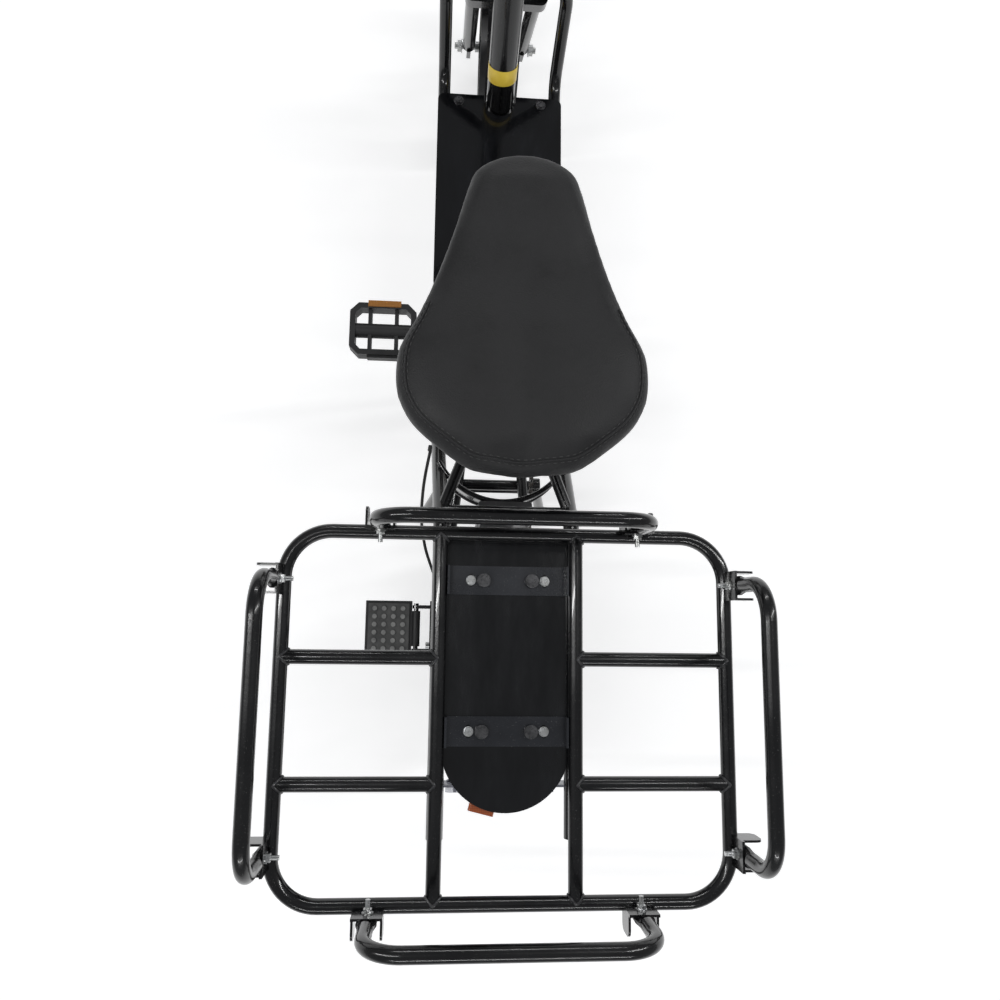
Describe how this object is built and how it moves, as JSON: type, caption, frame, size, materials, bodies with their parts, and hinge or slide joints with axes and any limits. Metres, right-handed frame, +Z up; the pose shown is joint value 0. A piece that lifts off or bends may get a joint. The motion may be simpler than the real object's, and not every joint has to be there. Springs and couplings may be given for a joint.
{
  "type": "pedal-assisted electric cargo bicycle",
  "caption": "Small-wheeled electric bicycle with pedals, long saddle, low deck, folding foot pegs and a wide railed cargo rack.",
  "frame": {"origin": "on the ground, midway across and midway between the rearmost and foremost points", "axes": "+X to the rider's right, +Y forward, +Z up"},
  "size_m": [0.641, 1.7459, 0.9785],
  "materials": {
    "frame_paint": "gloss black enamel",
    "seat_leather": "matte grained leatherette",
    "tyre_rubber": "tread rubber",
    "soft_rubber": "grey studded rubber",
    "black_rubber": "black rubber",
    "zinc": "bright zinc plate",
    "dark_steel": "black oxide",
    "alloy": "cast and machined",
    "black_alloy": "black coated casting",
    "black_plastic": "textured black plastic",
    "amber": "clear amber reflector",
    "panel": "pale grey plate",
    "chain_steel": "oiled steel"
  },
  "bodies": {
    "frame": {"battery_case": "black_plastic", "brake_cable": "black_rubber", "brake_housing": "alloy", "carrier_plate": "frame_paint", "chain": "chain_steel", "controller_box": "black_alloy", "deck_plate": "frame_paint", "dome_bolts": "dark_steel", "down_tube": "frame_paint", "foot_peg_brackets": "frame_paint", "frame_bearings": "zinc", "frame_cross_members": "frame_paint", "frame_rail_left": "frame_paint", "frame_rail_right": "frame_paint", "guard_rail_front": "frame_paint", "guard_rail_left": "frame_paint", "guard_rail_rear": "frame_paint", "guard_rail_right": "frame_paint", "head_tube": "frame_paint", "number_panel": "panel", "rack_inner_frame": "frame_paint", "rack_ring": "frame_paint", "rack_straps": "frame_paint", "rail_brackets": "frame_paint", "rear_axle": "zinc", "rear_mudguard": "black_plastic", "rear_stays": "frame_paint", "seat_braces": "frame_paint", "seat_clamp": "black_alloy", "seat_hoop": "frame_paint", "seat_tube": "frame_paint", "stand_pivot": "frame_paint", "tail_reflector": "amber", "zinc_bolts": "zinc"},
    "fork": {"front_fork": "frame_paint", "handlebar": "frame_paint", "grip_left": "black_rubber", "headlamp": "black_plastic", "front_axle": "zinc", "front_mudguard": "black_plastic"},
    "front_wheel": {"front_tyre": "tyre_rubber", "front_rim": "black_alloy"},
    "rear_wheel": {"rear_tyre": "tyre_rubber", "rear_hub_and_rim": "black_alloy"},
    "rear_sprocket": {"freewheel_sprocket": "chain_steel"},
    "crank": {"cranks_and_spindle": "dark_steel", "chainring": "dark_steel"},
    "pedal_left": {"pedal_left": "black_plastic"},
    "pedal_right": {"pedal_right": "black_plastic"},
    "seat": {"seat_post": "dark_steel", "saddle_base": "black_plastic", "saddle_cushion": "seat_leather"},
    "stand": {"centre_stand": "frame_paint"},
    "peg_left": {"foot_peg_left": "frame_paint", "foot_peg_pad_left": "soft_rubber"},
    "peg_right": {"foot_peg_right": "frame_paint", "foot_peg_pad_right": "soft_rubber"},
    "brake_lever": {"brake_lever": "black_alloy"},
    "throttle": {"throttle_grip": "black_rubber"},
    "brake_arm": {"brake_arm": "zinc"}
  },
  "joints": [
    {"name": "steering", "type": "hinge", "parent": "frame", "child": "fork", "pos_m": [0, 0.658, 0.19], "axis": [0, -0.342, 0.9397], "range_deg": [-45, 45]},
    {"name": "front_wheel_spin", "type": "hinge", "parent": "fork", "child": "front_wheel", "pos_m": [0, 0.683, 0.19], "axis": [1, 0, 0], "continuous": true},
    {"name": "rear_wheel_spin", "type": "hinge", "parent": "frame", "child": "rear_wheel", "pos_m": [0, -0.542, 0.19], "axis": [1, 0, 0], "continuous": true},
    {"name": "crank_spin", "type": "hinge", "parent": "frame", "child": "crank", "pos_m": [0, -0.023, 0.285], "axis": [1, 0, 0], "continuous": true},
    {"name": "rear_sprocket_spin", "type": "hinge", "parent": "frame", "child": "rear_sprocket", "pos_m": [0.068, -0.542, 0.19], "axis": [1, 0, 0], "continuous": true},
    {"name": "pedal_left_spin", "type": "hinge", "parent": "crank", "child": "pedal_left", "pos_m": [-0.1945, -0.023, 0.42], "axis": [1, 0, 0], "continuous": true},
    {"name": "pedal_right_spin", "type": "hinge", "parent": "crank", "child": "pedal_right", "pos_m": [0.1945, -0.023, 0.15], "axis": [1, 0, 0], "continuous": true},
    {"name": "seat_height", "type": "slide", "parent": "frame", "child": "seat", "axis": [0, -0.2588, 0.9659], "range_m": [-0.04, 0.09]},
    {"name": "stand_fold", "type": "hinge", "parent": "frame", "child": "stand", "pos_m": [0, -0.242, 0.214], "axis": [1, 0, 0], "range_deg": [-88, 0]},
    {"name": "foot_peg_left_fold", "type": "hinge", "parent": "frame", "child": "peg_left", "pos_m": [-0.128, -0.51, 0.3], "axis": [0, 1, 0], "range_deg": [0, 90]},
    {"name": "foot_peg_right_fold", "type": "hinge", "parent": "frame", "child": "peg_right", "pos_m": [0.128, -0.51, 0.3], "axis": [0, 1, 0], "range_deg": [0, 90]},
    {"name": "brake_lever_pull", "type": "hinge", "parent": "fork", "child": "brake_lever", "pos_m": [-0.16467, 0.37713, 0.96785], "axis": [0, -0.342, 0.9397], "range_deg": [-14, 0], "stiffness_Nm_per_rad": 1},
    {"name": "throttle_twist", "type": "hinge", "parent": "fork", "child": "throttle", "pos_m": [0.288, 0.31313, 0.94455], "axis": [0.9487, -0.2972, -0.1082], "range_deg": [0, 60], "stiffness_Nm_per_rad": 0.3},
    {"name": "brake_arm_pull", "type": "hinge", "parent": "frame", "child": "brake_arm", "pos_m": [-0.0905, -0.512, 0.236], "axis": [1, 0, 0], "range_deg": [-7, 0], "stiffness_Nm_per_rad": 1}
  ],
  "couplings": [
    {"joint": "rear_sprocket_spin", "follows": "crank_spin", "ratio": 2.75},
    {"joint": "brake_arm_pull", "follows": "brake_lever_pull", "ratio": 0.5}
  ]
}
